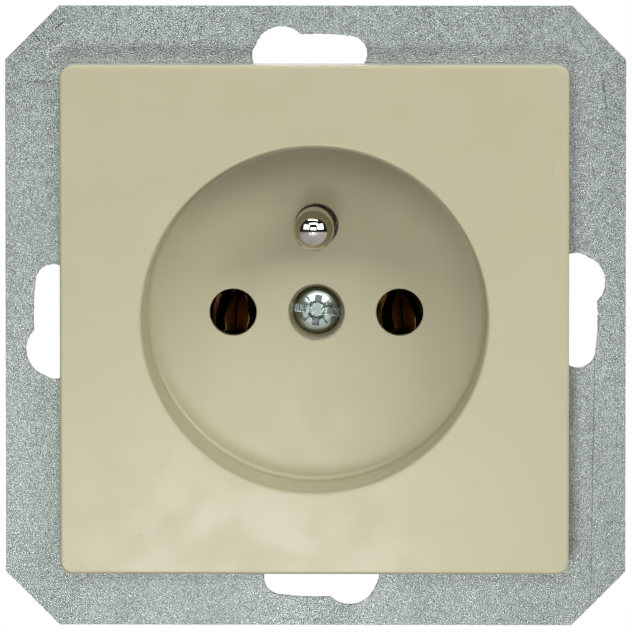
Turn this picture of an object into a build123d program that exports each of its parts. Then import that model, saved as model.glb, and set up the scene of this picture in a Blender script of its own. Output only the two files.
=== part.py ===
from build123d import *
from math import cos, radians, sin, sqrt
import os

os.makedirs("parts", exist_ok=True)

# Flush wall socket insert with a standing earth pin, without its surround frame.
# +X is right, +Z is up and the front looks towards -Y. Y = 0 is the wall, where the
# back of the support plate rests. Depths below are Y values or lengths along Y, in mm.

# Standard plug geometry
pin_pitch = 19.0
pin_hole_d = 5.35
earth_pin_height = 10.0
earth_pin_d = 4.75
earth_hole_d = 5.2
earth_pin_neck_d = 4.3
earth_pin_neck_gap = 0.2
recess_d = 39.0
recess_depth = 15.0
recess_draft = 0.25
earth_pin_reach = 14.0
earth_pin_drift_x = -0.15
earth_pin_drift_z = -0.11

# Support plate
plate_size = 70.3
plate_t = 1.2
plate_corner_cut = 6.1
plate_opening_gap = 0.4
bend_r = 0.4
box_screw_circle_d = 60.0
keyhole_slot_w = 4.0
keyhole_head_d = 6.2
keyhole_head_turn = 7.4
keyhole_slot_turn = 10.0
tab_w = 6.0
tab_grip = 2.0
tab_window_gap = 0.2

# Cover plate
flange_room = 1.35
cover_rise = 9.5
cover_wall = 2.0
cover_corner_r = 1.5
cover_edge_r = 0.7
skirt_wall = 1.8
skirt_gap = 0.4
recess_rim_r = 0.35
recess_floor_r = 0.5
hole_edge_r = 0.15
cup_wall = 1.6
floor_wall = 2.0
well_d = 6.4
well_depth = 6.1
well_wall = 1.0
well_floor = 1.5
rib_t = 1.2
rib_h = 2.8

# Cover screw and its bush
cover_screw_d = 3.0
cover_screw_head_d = 5.3
cover_screw_head_h = 2.2
cover_screw_length = 6.6
cover_screw_hole_d = 3.5
screw_slot_w = 0.8
screw_slot_depth = 1.0
cross_w = 0.75
cross_span = 3.0
cross_depth = 1.5
screw_turn = 7.0
head_round = 0.5
bush_d = 5.4
bush_length = 5.0
knurl_count = 14
knurl_depth = 0.25

# Socket base
base_tube_wall = 3.5
base_flat_cut = 1.6
rear_room = 2.0
base_edge_cut = 0.8
flange_lip = 0.5
flange_t = 2.0
flange_corner_cut = 3.8
cup_clearance = 0.4
front_wall = 2.0
base_pin_hole_d = 6.0
pocket_gap = 0.3
tube_inner_skin = 1.0
partition_w = 0.8

# Rear cover and its screws
rear_cover_t = 2.2
rear_cover_gap = 0.2
wire_hole_d = 3.2
wire_hole_pitch = 4.2
wire_funnel = 0.4
keeper_gap = 0.4
keeper_side_gap = 0.3
rear_screw_inset = 2.9
rear_screw_d = 2.5
rear_screw_head_d = 4.8
rear_screw_length = 9.0
rear_cross_w = 0.7

# Contacts
contact_t = 0.7
contact_mouth = 1.7
contact_throat = 1.25
contact_apex = 2.3
contact_slit = 0.3
contact_foot = 0.8
contact_floor = -4.0
contact_front_gap = 0.3
contact_funnel_length = 2.4
contact_length = 11.2
contact_side_w = 5.0
clip_t = 0.5
clip_length = 5.0
clip_offset = 5.8
clip_opening = 1.5

# Terminals
tab_overhang = 0.4
clamp_tab_step = 4.3
clamp_pin_gap = 4.2
clamp_h = 8.4
clamp_side_gap = 0.2
clamp_length = 6.4
clamp_wall = 0.9
clamp_screw_wall = 1.6
clamp_bend_r = 1.2
clamp_setback = 7.7
clamp_tooth_count = 3
clamp_tooth_depth = 0.25
terminal_screw_d = 3.5
terminal_screw_head_d = 6.0
terminal_screw_head_h = 2.2
terminal_screw_length = 3.9
terminal_slot_w = 1.0
terminal_slot_depth = 1.1
terminal_slot_turn = 20.0
screw_edge_cut = 0.4
groove_gap = 0.4
thread_gap = 0.05

# Earth strap
strap_t = 0.8
strap_w = 7.0
collar_d = 7.2
collar_t = 1.2
tail_d = 3.2
rivet_head_d = 5.4
rivet_head_h = 0.8

# Places that follow from the sizes
plate_front = -plate_t
cover_front = -cover_rise
skirt_back = plate_front - skirt_gap
floor_front = cover_front + recess_depth
floor_back = floor_front + floor_wall
recess_r = recess_d / 2
floor_r = recess_r - recess_draft
cup_outer_r = recess_r + cup_wall
screw_seat = floor_front + well_depth
well_outer_r = well_d / 2 + well_wall
well_back = screw_seat + well_floor
pin_x = pin_pitch / 2
base_bore_r = cup_outer_r + cup_clearance
base_r = base_bore_r + base_tube_wall
base_flat = 2 * (base_r - base_flat_cut)
plate_opening_r = base_r + plate_opening_gap
flange_size = 2 * (base_r + flange_lip)
flange_front = plate_front - flange_t
tab_seat_r = (flange_size - flange_corner_cut) / sqrt(2)
cover_size = flange_size + 2 * (flange_room + skirt_wall)
wall_back = floor_back + front_wall
bush_front = well_back + 0.2
tongue_w = strap_w
tab_half_w = strap_w / 2
clamp_w = strap_w + 2 * (clamp_side_gap + clamp_wall)
screw_access_w = strap_w + 2 * groove_gap
clamp_inner_r = pin_x + clamp_pin_gap
clamp_outer_r = clamp_inner_r + clamp_h
clamp_front = wall_back + clamp_setback
clamp_mid = clamp_front + clamp_length / 2
tab_inner_r = clamp_inner_r + clamp_tab_step
tab_outer_r = tab_inner_r + contact_t
tab_rear = clamp_front + clamp_length + tab_overhang
base_rear = tab_rear + rear_room
chamber_inner_r = clamp_inner_r - pocket_gap
chamber_outer_r = clamp_outer_r + pocket_gap
chamber_w = clamp_w + 2 * pocket_gap
contact_front = wall_back + contact_front_gap
contact_rear = contact_front + contact_length
contact_pocket_w = 2 * (chamber_inner_r - partition_w - pin_x)
contact_pocket_top = contact_apex + contact_t + 2 * pocket_gap
contact_pocket_floor = contact_floor - clip_t - pocket_gap
tongue_under = base_bore_r + tube_inner_skin + pocket_gap
earth_stack_top = tab_outer_r
earth_stack_under = earth_stack_top - plate_t
strap_front = wall_back + collar_t
strap_bottom = earth_pin_height - strap_w / 2
earth_clamp_drop = strap_t
rear_face = base_rear + rear_cover_t
fixing_r = box_screw_circle_d / 2
rear_screw_spot = (base_flat / 2 - rear_screw_inset) / sqrt(2)
rear_screw_spots = [(rear_screw_spot, rear_screw_spot), (-rear_screw_spot, -rear_screw_spot)]


# A sketch plane across the socket at depth y, as seen from the front
def seen_from_front(y, x=0):
    return Plane(origin=(x, y, 0), x_dir=(1, 0, 0), z_dir=(0, -1, 0))


# The same plane as seen from the rear
def seen_from_rear(y):
    return Plane(origin=(0, y, 0), x_dir=(-1, 0, 0), z_dir=(0, 1, 0))


# The round edges that lie at depth y
def edges_at(part, y):
    return (
        part.edges()
        .filter_by(GeomType.CIRCLE)
        .filter_by_position(Axis.Y, y - 0.001, y + 0.001)
    )


# Support plate: stamped sheet with keyholes, lanced tabs and an earthing tongue
corner_turns = [45, 135, 225, 315]
tab_planes = [
    Plane(
        origin=(0, 0, 0),
        x_dir=(cos(radians(a)), 0, sin(radians(a))),
        z_dir=(sin(radians(a)), 0, -cos(radians(a))),
    )
    for a in corner_turns
]
tab_rise = plate_t + flange_t
tab_window_l = tab_rise + tab_grip

with BuildPart() as support_plate:
    with BuildSketch(seen_from_front(0)) as plate_outline:
        Rectangle(plate_size, plate_size)
        chamfer(plate_outline.vertices(), plate_corner_cut)
        Circle(plate_opening_r, mode=Mode.SUBTRACT)
        for quarter in (0, 90, 180, 270):
            slot_path = CenterArc(
                (0, 0),
                fixing_r,
                quarter - keyhole_slot_turn,
                keyhole_slot_turn + keyhole_head_turn,
                mode=Mode.PRIVATE,
            )
            SlotArc(slot_path, keyhole_slot_w, mode=Mode.SUBTRACT)
        with PolarLocations(fixing_r, 4, start_angle=keyhole_head_turn):
            Circle(keyhole_head_d / 2, mode=Mode.SUBTRACT)
        with PolarLocations(tab_seat_r - tab_window_l / 2, 4, start_angle=45):
            Rectangle(tab_window_l, tab_w + 2 * tab_window_gap, mode=Mode.SUBTRACT)
    extrude(amount=plate_t)

    # Tabs bent up at the corners and folded over the flange of the base
    with BuildSketch(*tab_planes):
        with BuildLine():
            FilletPolyline(
                (tab_seat_r + 2 * plate_t, 0),
                (tab_seat_r, 0),
                (tab_seat_r, tab_rise),
                (tab_seat_r - tab_grip, tab_rise),
                radius=[bend_r + plate_t, bend_r],
            )
            offset(amount=plate_t, side=Side.RIGHT)
        make_face()
    extrude(amount=tab_w / 2, both=True)

    # Tongue bent back from the opening and cranked down to the earth terminal
    with BuildSketch(Plane.YZ):
        with BuildLine():
            FilletPolyline(
                (plate_front, plate_opening_r + plate_t),
                (plate_front, tongue_under),
                (wall_back + 0.2, tongue_under),
                (wall_back + 0.2, earth_stack_under),
                (tab_rear, earth_stack_under),
                radius=[bend_r + plate_t, bend_r, bend_r + plate_t],
            )
            offset(amount=plate_t, side=Side.LEFT)
        make_face()
    extrude(amount=tongue_w / 2, both=True)

# Cover plate: square shell, recess cup, screw well and stiffening ribs in one moulding
with BuildPart() as cover_plate:
    with BuildSketch(seen_from_front(skirt_back)) as cover_outline:
        Rectangle(cover_size, cover_size)
        fillet(cover_outline.vertices(), cover_corner_r)
    extrude(amount=skirt_back - cover_front)
    fillet(cover_plate.faces().sort_by(Axis.Y)[0].edges(), cover_edge_r)

    skirt_inner = cover_size - 2 * skirt_wall
    with BuildSketch(seen_from_front(skirt_back)):
        Rectangle(skirt_inner, skirt_inner)
    extrude(amount=skirt_back - cover_front - cover_wall, mode=Mode.SUBTRACT)

    with BuildSketch(seen_from_front(floor_back)):
        Circle(cup_outer_r)
    extrude(amount=floor_back - cover_front - cover_wall / 2)
    with BuildSketch(seen_from_front(well_back)):
        Circle(well_outer_r)
    extrude(amount=well_back - floor_back)

    # Ribs between the cup and the skirt
    rib_inner = cup_outer_r - cup_wall / 2
    rib_outer = skirt_inner / 2 / cos(radians(22.5)) + skirt_wall / 2
    with BuildSketch(seen_from_front(cover_front + cover_wall + rib_h)):
        with PolarLocations((rib_inner + rib_outer) / 2, 8, start_angle=22.5):
            Rectangle(rib_outer - rib_inner, rib_t)
    extrude(amount=rib_h)

    # Recess, slightly tapered
    with BuildSketch(Plane.XY):
        with BuildLine():
            Polyline(
                (0, cover_front),
                (recess_r, cover_front),
                (floor_r, floor_front),
                (0, floor_front),
                close=True,
            )
        make_face()
    revolve(axis=Axis.Y, mode=Mode.SUBTRACT)
    fillet(edges_at(cover_plate, cover_front).sort_by(SortBy.RADIUS)[-1], recess_rim_r)
    fillet(edges_at(cover_plate, floor_front), recess_floor_r)

    # Screw well, pin holes and the hole of the earth pin
    with Locations(seen_from_front(floor_front)):
        CounterBoreHole(
            radius=cover_screw_hole_d / 2,
            counter_bore_radius=well_d / 2,
            counter_bore_depth=well_depth,
            depth=well_depth + well_floor,
        )
        with Locations((-pin_x, 0), (pin_x, 0)):
            Hole(radius=pin_hole_d / 2, depth=floor_wall)
        with Locations((0, earth_pin_height)):
            Hole(radius=earth_hole_d / 2, depth=floor_wall)
    mouths = edges_at(cover_plate, floor_front)
    fillet(mouths.filter_by(lambda e: e.radius < well_d), hole_edge_r)

# Socket base: flange, tube round the cup and a rear block with the chambers
chamber_depth = base_rear - wall_back

with BuildPart() as socket_base:
    with BuildSketch(seen_from_front(plate_front)) as flange_outline:
        Rectangle(flange_size, flange_size)
        chamfer(flange_outline.vertices(), flange_corner_cut)
    extrude(amount=flange_t)
    chamfer(socket_base.faces().sort_by(Axis.Y)[0].edges(), bend_r)
    with BuildSketch(seen_from_front(wall_back)):
        Circle(base_r)
    extrude(amount=wall_back - plate_front)
    with BuildSketch(seen_from_front(base_rear)):
        Circle(base_r)
        Rectangle(base_flat, base_flat, rotation=45, mode=Mode.INTERSECT)
    extrude(amount=chamber_depth)
    chamfer(socket_base.faces().sort_by(Axis.Y)[-1].edges(), base_edge_cut)

    # Bore for the cup of the cover
    with BuildSketch(seen_from_front(floor_back)):
        Circle(base_bore_r)
    extrude(amount=floor_back - flange_front, mode=Mode.SUBTRACT)

    # Holes in the front wall
    with Locations(seen_from_front(floor_back)):
        with Locations((-pin_x, 0), (pin_x, 0)):
            Hole(radius=base_pin_hole_d / 2, depth=front_wall)
        with Locations((0, earth_pin_height)):
            Hole(radius=earth_hole_d / 2 + pocket_gap, depth=front_wall)
        Hole(radius=well_outer_r + pocket_gap, depth=bush_front - floor_back)
    with Locations(seen_from_front(bush_front)):
        CounterBoreHole(
            radius=cover_screw_hole_d / 2,
            counter_bore_radius=bush_d / 2 + thread_gap / 2,
            counter_bore_depth=bush_length,
            depth=bush_length + 2,
        )

    # Chambers, open to the rear: contacts, lift clamps and the earth strap
    chamber_mid_r = (chamber_inner_r + chamber_outer_r) / 2
    chamber_h = chamber_outer_r - chamber_inner_r
    pocket_h = contact_pocket_top - contact_pocket_floor
    pocket_mid = (contact_pocket_top + contact_pocket_floor) / 2
    side_slot_h = contact_t + 2 * pocket_gap
    earth_chamber_bottom = chamber_inner_r - earth_clamp_drop
    with BuildSketch(seen_from_front(base_rear)):
        with Locations((-pin_x, pocket_mid), (pin_x, pocket_mid)):
            Rectangle(contact_pocket_w, pocket_h)
        with Locations((-chamber_mid_r, 0), (chamber_mid_r, 0)):
            Rectangle(chamber_h, chamber_w)
        slot_mid = contact_floor + contact_t / 2
        with Locations((-chamber_inner_r, slot_mid), (chamber_inner_r, slot_mid)):
            Rectangle(4 * partition_w, side_slot_h)
        with Locations((0, earth_chamber_bottom)):
            earth_chamber_h = chamber_outer_r - earth_chamber_bottom
            Rectangle(chamber_w, earth_chamber_h, align=(Align.CENTER, Align.MIN))
        with Locations((0, strap_bottom - pocket_gap)):
            Rectangle(
                strap_w + 2 * pocket_gap,
                earth_chamber_bottom - strap_bottom + 2 * pocket_gap,
                align=(Align.CENTER, Align.MIN),
            )
    extrude(amount=chamber_depth, mode=Mode.SUBTRACT)

    # Openings that let a screwdriver reach the terminal screws
    access_l = base_rear - (clamp_mid - screw_access_w / 2)
    access_inner = chamber_outer_r - pocket_gap
    access_mid = (access_inner + base_r) / 2
    with BuildSketch(seen_from_front(base_rear)):
        with PolarLocations(access_mid, 3, start_angle=0, angular_range=270):
            Rectangle(base_r - access_inner + 2, screw_access_w)
    extrude(amount=access_l, mode=Mode.SUBTRACT)

    # Groove for the earthing tongue along the top
    with BuildSketch(seen_from_front(wall_back)):
        with Locations((0, tongue_under - pocket_gap)):
            Rectangle(screw_access_w, base_r, align=(Align.CENTER, Align.MIN))
    extrude(amount=wall_back - plate_front, mode=Mode.SUBTRACT)
    with BuildSketch(seen_from_front(clamp_mid)):
        with Locations((0, chamber_outer_r - 2 * pocket_gap)):
            Rectangle(screw_access_w, base_r, align=(Align.CENTER, Align.MIN))
    extrude(amount=clamp_mid - wall_back, mode=Mode.SUBTRACT)

    # Pilot holes of the rear cover's screws
    with Locations(seen_from_rear(base_rear)):
        with Locations(*rear_screw_spots):
            Hole(radius=(rear_screw_d + thread_gap) / 2, depth=rear_screw_length)

# Rear cover with its wire entries and keepers that close the terminal chambers
wire_r = (clamp_inner_r + clamp_wall + tab_inner_r) / 2
earth_wire_r = (clamp_inner_r - earth_clamp_drop + clamp_wall + earth_stack_under - strap_t) / 2
half_wire_pitch = wire_hole_pitch / 2
wire_spots = [
    (-wire_r, -half_wire_pitch),
    (-wire_r, half_wire_pitch),
    (wire_r, -half_wire_pitch),
    (wire_r, half_wire_pitch),
    (-half_wire_pitch, earth_wire_r),
    (half_wire_pitch, earth_wire_r),
]
keeper_h = base_rear - tab_rear - keeper_gap
keeper_w = chamber_w - 2 * keeper_side_gap

with BuildPart() as rear_cover:
    with BuildSketch(seen_from_front(rear_face)):
        Circle(base_r - rear_cover_gap)
        rear_flat = base_flat - 2 * rear_cover_gap
        Rectangle(rear_flat, rear_flat, rotation=45, mode=Mode.INTERSECT)
    extrude(amount=rear_cover_t)
    chamfer(rear_cover.faces().sort_by(Axis.Y)[-1].edges(), base_edge_cut)
    with BuildSketch(seen_from_front(base_rear)):
        with Locations((-chamber_mid_r, 0), (chamber_mid_r, 0)):
            Rectangle(chamber_h - 2 * keeper_side_gap, keeper_w)
        with Locations((0, earth_chamber_bottom + keeper_side_gap)):
            earth_keeper_h = earth_chamber_h - 2 * keeper_side_gap
            Rectangle(keeper_w, earth_keeper_h, align=(Align.CENTER, Align.MIN))
    extrude(amount=keeper_h)
    with Locations(seen_from_rear(rear_face)):
        with Locations(*wire_spots):
            CounterSinkHole(
                radius=wire_hole_d / 2,
                counter_sink_radius=wire_hole_d / 2 + wire_funnel,
                depth=rear_cover_t + keeper_h,
                counter_sink_angle=90,
            )
        with Locations(*rear_screw_spots):
            CounterSinkHole(
                radius=(rear_screw_d + thread_gap) / 2,
                counter_sink_radius=rear_screw_head_d / 2,
                depth=rear_cover_t,
                counter_sink_angle=90,
            )

# Countersunk screws of the rear cover, heads flush
rear_screw_r = rear_screw_d / 2
rear_cone = (rear_screw_head_d - rear_screw_d) / 2
with BuildPart() as rear_screw:
    with BuildSketch(Plane.XY):
        with BuildLine():
            Polyline(
                (0, rear_face),
                (rear_screw_head_d / 2, rear_face),
                (rear_screw_r, rear_face - rear_cone),
                (rear_screw_r, rear_face - rear_screw_length + rear_screw_r),
                (0, rear_face - rear_screw_length),
                close=True,
            )
        make_face()
    revolve(axis=Axis.Y)
    with BuildSketch(seen_from_rear(rear_face)):
        Rectangle(cross_span, rear_cross_w, rotation=45)
        Rectangle(rear_cross_w, cross_span, rotation=45)
    extrude(amount=-rear_cone, mode=Mode.SUBTRACT)

with BuildPart() as rear_cover_screws:
    with Locations(*[(-x, 0, z) for x, z in rear_screw_spots]):
        add(rear_screw.part)

# Cover screw: pan head with a slot and a cross
screw_r = cover_screw_d / 2
head_r = cover_screw_head_d / 2
head_front = screw_seat - cover_screw_head_h
with BuildPart() as cover_screw:
    with BuildSketch(Plane.XY):
        with BuildLine():
            Line((0, head_front), (head_r - head_round, head_front))
            RadiusArc(
                (head_r - head_round, head_front), (head_r, head_front + head_round), -head_round
            )
            Polyline(
                (head_r, head_front + head_round),
                (head_r, screw_seat),
                (screw_r, screw_seat),
                (screw_r, screw_seat + cover_screw_length - screw_r / 2),
                (screw_r / 2, screw_seat + cover_screw_length),
                (0, screw_seat + cover_screw_length),
                (0, head_front),
            )
        make_face()
    revolve(axis=Axis.Y)
    with BuildSketch(seen_from_front(head_front)):
        Rectangle(cover_screw_head_d + 1, screw_slot_w, rotation=-screw_turn)
    extrude(amount=-screw_slot_depth, mode=Mode.SUBTRACT)
    with BuildSketch(seen_from_front(head_front)):
        Rectangle(cross_span, cross_w, rotation=-screw_turn)
        Rectangle(cross_w, cross_span, rotation=-screw_turn)
        RegularPolygon(cross_w * 0.75, 8, rotation=22.5 - screw_turn)
    extrude(amount=-cross_depth, mode=Mode.SUBTRACT)

# Knurled bush that the cover screw runs into
with BuildPart() as cover_screw_bush:
    with BuildSketch(seen_from_front(bush_front + bush_length)):
        Circle(bush_d / 2)
        with PolarLocations(bush_d / 2, knurl_count):
            Rectangle(knurl_depth * sqrt(2), knurl_depth * sqrt(2), rotation=45, mode=Mode.SUBTRACT)
        Circle((cover_screw_d + thread_gap) / 2, mode=Mode.SUBTRACT)
    extrude(amount=bush_length)

# Earth pin: round nose, collar behind the front wall and a riveted tail
pin_r = earth_pin_d / 2
pin_spot = (earth_pin_drift_x, earth_pin_height + earth_pin_drift_z)
pin_tip = floor_front - earth_pin_reach
rivet_front = strap_front + strap_t
with BuildPart() as earth_pin:
    with BuildSketch(Plane(origin=(pin_spot[0], 0, pin_spot[1]), x_dir=(1, 0, 0), z_dir=(0, 0, 1))):
        with BuildLine():
            RadiusArc((0, pin_tip), (pin_r, pin_tip + pin_r), -pin_r)
            Polyline(
                (pin_r, pin_tip + pin_r),
                (pin_r, floor_front - earth_pin_neck_gap),
                (earth_pin_neck_d / 2, floor_front - earth_pin_neck_gap),
                (earth_pin_neck_d / 2, wall_back),
                (collar_d / 2, wall_back),
                (collar_d / 2, strap_front),
                (tail_d / 2, strap_front),
                (tail_d / 2, rivet_front),
                (rivet_head_d / 2, rivet_front),
                (rivet_head_d / 2 - rivet_head_h / 2, rivet_front + rivet_head_h),
                (0, rivet_front + rivet_head_h),
                (0, pin_tip),
            )
        make_face()
    revolve(axis=Axis((pin_spot[0], 0, pin_spot[1]), (0, 1, 0)))

# Earth strap: carries the pin and runs back under the tongue into the earth terminal
with BuildPart() as earth_strap:
    with BuildSketch(Plane.YZ):
        with BuildLine():
            FilletPolyline(
                (strap_front, strap_bottom),
                (strap_front, earth_stack_under),
                (tab_rear, earth_stack_under),
                radius=bend_r + strap_t,
            )
            offset(amount=strap_t, side=Side.RIGHT)
        make_face()
    extrude(amount=strap_w / 2, both=True)
    with Locations(seen_from_front(strap_front)):
        with Locations(pin_spot):
            Hole(radius=tail_d / 2, depth=strap_t)
    lower_corners = earth_strap.edges().filter_by(Axis.Y).group_by(Axis.Z)[0]
    chamfer(lower_corners, strap_t)

# Contacts: two leaves that close round the pin, a floor strip and a folded terminal tab
throat_front = contact_front + contact_funnel_length
side_front = contact_front + contact_front_gap
side_rear = side_front + contact_side_w
contact_foot_w = 2 * (contact_foot + contact_t)


# Right leaf of a contact, cut across the pin; bulge is its free half width
def leaf_section(bulge):
    with BuildSketch() as section:
        with BuildLine():
            ThreePointArc(
                (contact_foot, contact_floor + contact_t / 2),
                (bulge, 0),
                (contact_slit / 2, contact_apex),
            )
            offset(amount=contact_t, side=Side.RIGHT)
        make_face()
    return section.sketch


mouth_leaf = leaf_section(contact_mouth)
throat_leaf = leaf_section(contact_throat)

with BuildPart() as neutral_contact:
    with BuildSketch(seen_from_front(contact_front, pin_x)):
        add(mouth_leaf)
    with BuildSketch(seen_from_front(throat_front, pin_x)):
        add(throat_leaf)
    loft()
    with BuildSketch(seen_from_front(contact_rear, pin_x)):
        add(throat_leaf)
    extrude(amount=contact_rear - throat_front)
    mirror(about=Plane(origin=(pin_x, 0, 0), z_dir=(1, 0, 0)))
    with BuildSketch(seen_from_front(contact_rear, pin_x)):
        with Locations((0, contact_floor)):
            Rectangle(contact_foot_w, contact_t, align=(Align.CENTER, Align.MIN))
    extrude(amount=contact_length)
    with BuildSketch(seen_from_front(side_rear)):
        with BuildLine():
            FilletPolyline(
                (pin_x, contact_floor),
                (tab_outer_r, contact_floor),
                (tab_outer_r, tab_half_w),
                radius=bend_r + contact_t,
            )
            offset(amount=contact_t, side=Side.LEFT)
        make_face()
    extrude(amount=contact_side_w)
    tab_low = contact_floor + 2 * (bend_r + contact_t)
    with BuildSketch(seen_from_front(tab_rear)):
        with Locations((tab_inner_r, tab_low)):
            Rectangle(contact_t, tab_half_w - tab_low, align=(Align.MIN, Align.MIN))
    extrude(amount=tab_rear - side_front)

with BuildPart() as line_contact:
    mirror(neutral_contact.part, about=Plane.YZ)

# Steel clips round the leaves, open at the top
with BuildSketch() as contact_envelope:
    add(throat_leaf)
    mirror(about=Plane.YZ)
    with Locations((0, contact_floor)):
        Rectangle(contact_foot_w, contact_t, align=(Align.CENTER, Align.MIN))
    make_hull()

with BuildPart() as neutral_contact_clip:
    with BuildSketch(seen_from_front(contact_front + clip_offset + clip_length, pin_x)):
        offset(contact_envelope.sketch, amount=clip_t)
        add(contact_envelope.sketch, mode=Mode.SUBTRACT)
        with Locations((0, clip_opening)):
            Rectangle(
                contact_pocket_w,
                contact_pocket_w,
                align=(Align.CENTER, Align.MIN),
                mode=Mode.SUBTRACT,
            )
    extrude(amount=clip_length)

with BuildPart() as line_contact_clip:
    mirror(neutral_contact_clip.part, about=Plane.YZ)

# Lift clamps: folded boxes with a tapped wall and a toothed bed for the wires
clamp_mid_r = (clamp_inner_r + clamp_outer_r) / 2
bed_r = clamp_inner_r + clamp_wall
screw_wall_r = clamp_outer_r - clamp_screw_wall
tooth_pitch = clamp_length / (clamp_tooth_count + 1)
tooth_spots = [(bed_r, clamp_front + tooth_pitch * (i + 1)) for i in range(clamp_tooth_count)]
with BuildPart() as neutral_clamp:
    with BuildSketch(seen_from_front(clamp_front + clamp_length)):
        with Locations((clamp_mid_r, 0)):
            RectangleRounded(clamp_h, clamp_w, clamp_bend_r)
        with Locations(((bed_r + screw_wall_r) / 2, 0)):
            clamp_inner_w = clamp_w - 2 * clamp_wall
            RectangleRounded(screw_wall_r - bed_r, clamp_inner_w, bend_r, mode=Mode.SUBTRACT)
    extrude(amount=clamp_length)
    with BuildSketch(Plane.XY):
        with Locations(*tooth_spots):
            tooth_side = clamp_tooth_depth * sqrt(2)
            Rectangle(tooth_side, tooth_side, rotation=45)
    extrude(amount=clamp_inner_w / 2, both=True, mode=Mode.SUBTRACT)
    with Locations(Plane(origin=(clamp_outer_r, clamp_mid, 0), z_dir=(1, 0, 0))):
        Hole(radius=(terminal_screw_d + thread_gap) / 2, depth=clamp_screw_wall)

with BuildPart() as line_clamp:
    mirror(neutral_clamp.part, about=Plane.YZ)

with BuildPart() as earth_clamp:
    with Locations((0, 0, -earth_clamp_drop)):
        add(neutral_clamp.part, rotation=(0, -90, 0))

# Terminal screws, slotted, with their heads towards the sides of the base
head_under = tab_outer_r + terminal_screw_length
head_outer = head_under + terminal_screw_head_h
thread_r = terminal_screw_d / 2
terminal_head_r = terminal_screw_head_d / 2
with BuildPart() as neutral_terminal_screw:
    with BuildSketch(seen_from_front(clamp_mid)):
        with BuildLine():
            Polyline(
                (tab_outer_r, 0),
                (tab_outer_r, thread_r - screw_edge_cut),
                (tab_outer_r + screw_edge_cut, thread_r),
                (head_under, thread_r),
                (head_under, terminal_head_r),
                (head_outer - screw_edge_cut, terminal_head_r),
                (head_outer, terminal_head_r - screw_edge_cut),
                (head_outer, 0),
                close=True,
            )
        make_face()
    revolve(axis=Axis((0, clamp_mid, 0), (1, 0, 0)))
    with BuildSketch(Plane(origin=(head_outer, clamp_mid, 0), z_dir=(1, 0, 0))):
        Rectangle(terminal_slot_w, terminal_screw_head_d + 1, rotation=terminal_slot_turn)
    extrude(amount=-terminal_slot_depth, mode=Mode.SUBTRACT)

with BuildPart() as line_terminal_screw:
    mirror(neutral_terminal_screw.part, about=Plane.YZ)

with BuildPart() as earth_terminal_screw:
    add(neutral_terminal_screw.part, rotation=(0, -90, 0))

# Label and write every piece
cover_plate.part.label = "cover_plate"
cover_screw.part.label = "cover_screw"
cover_screw_bush.part.label = "cover_screw_bush"
support_plate.part.label = "support_plate"
socket_base.part.label = "socket_base"
rear_cover.part.label = "rear_cover"
rear_cover_screws.part.label = "rear_cover_screws"
earth_pin.part.label = "earth_pin"
earth_strap.part.label = "earth_strap"
line_contact.part.label = "line_contact"
neutral_contact.part.label = "neutral_contact"
line_contact_clip.part.label = "line_contact_clip"
neutral_contact_clip.part.label = "neutral_contact_clip"
line_clamp.part.label = "line_clamp"
neutral_clamp.part.label = "neutral_clamp"
earth_clamp.part.label = "earth_clamp"
line_terminal_screw.part.label = "line_terminal_screw"
neutral_terminal_screw.part.label = "neutral_terminal_screw"
earth_terminal_screw.part.label = "earth_terminal_screw"
export_step(cover_plate.part, "parts/cover_plate.step")
export_step(cover_screw.part, "parts/cover_screw.step")
export_step(cover_screw_bush.part, "parts/cover_screw_bush.step")
export_step(support_plate.part, "parts/support_plate.step")
export_step(socket_base.part, "parts/socket_base.step")
export_step(rear_cover.part, "parts/rear_cover.step")
export_step(rear_cover_screws.part, "parts/rear_cover_screws.step")
export_step(earth_pin.part, "parts/earth_pin.step")
export_step(earth_strap.part, "parts/earth_strap.step")
export_step(line_contact.part, "parts/line_contact.step")
export_step(neutral_contact.part, "parts/neutral_contact.step")
export_step(line_contact_clip.part, "parts/line_contact_clip.step")
export_step(neutral_contact_clip.part, "parts/neutral_contact_clip.step")
export_step(line_clamp.part, "parts/line_clamp.step")
export_step(neutral_clamp.part, "parts/neutral_clamp.step")
export_step(earth_clamp.part, "parts/earth_clamp.step")
export_step(line_terminal_screw.part, "parts/line_terminal_screw.step")
export_step(neutral_terminal_screw.part, "parts/neutral_terminal_screw.step")
export_step(earth_terminal_screw.part, "parts/earth_terminal_screw.step")
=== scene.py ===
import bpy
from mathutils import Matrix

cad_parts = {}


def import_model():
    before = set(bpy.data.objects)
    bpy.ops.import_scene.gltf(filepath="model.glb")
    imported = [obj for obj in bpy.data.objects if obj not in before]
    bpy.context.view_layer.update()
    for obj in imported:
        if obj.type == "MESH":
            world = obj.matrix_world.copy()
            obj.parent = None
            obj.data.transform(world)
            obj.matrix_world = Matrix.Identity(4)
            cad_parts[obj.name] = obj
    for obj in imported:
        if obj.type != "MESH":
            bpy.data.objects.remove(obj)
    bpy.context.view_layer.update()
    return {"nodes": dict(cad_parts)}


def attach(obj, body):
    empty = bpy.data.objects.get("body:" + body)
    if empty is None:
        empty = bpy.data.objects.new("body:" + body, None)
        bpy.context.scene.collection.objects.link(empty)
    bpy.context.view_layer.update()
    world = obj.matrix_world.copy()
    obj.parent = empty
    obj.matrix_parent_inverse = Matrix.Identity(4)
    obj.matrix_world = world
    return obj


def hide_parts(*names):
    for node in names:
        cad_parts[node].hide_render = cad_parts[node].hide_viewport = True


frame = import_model()

import math

import bmesh
import bpy
from mathutils import Matrix, Vector

nodes = frame["nodes"]
mm = 0.001
print("frame loaded:", len(nodes), "CAD nodes")


# ---- small helpers for node trees; those without a tree take it from the sockets given to them
def isSocket(value):
    return isinstance(value, bpy.types.NodeSocket)


def treeOf(*values):
    return next(value.id_data for value in values if isSocket(value))


def feed(node, inputs):
    for key, value in inputs.items():
        if isSocket(value):
            node.id_data.links.new(value, node.inputs[key])
        else:
            node.inputs[key].default_value = value


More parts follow.
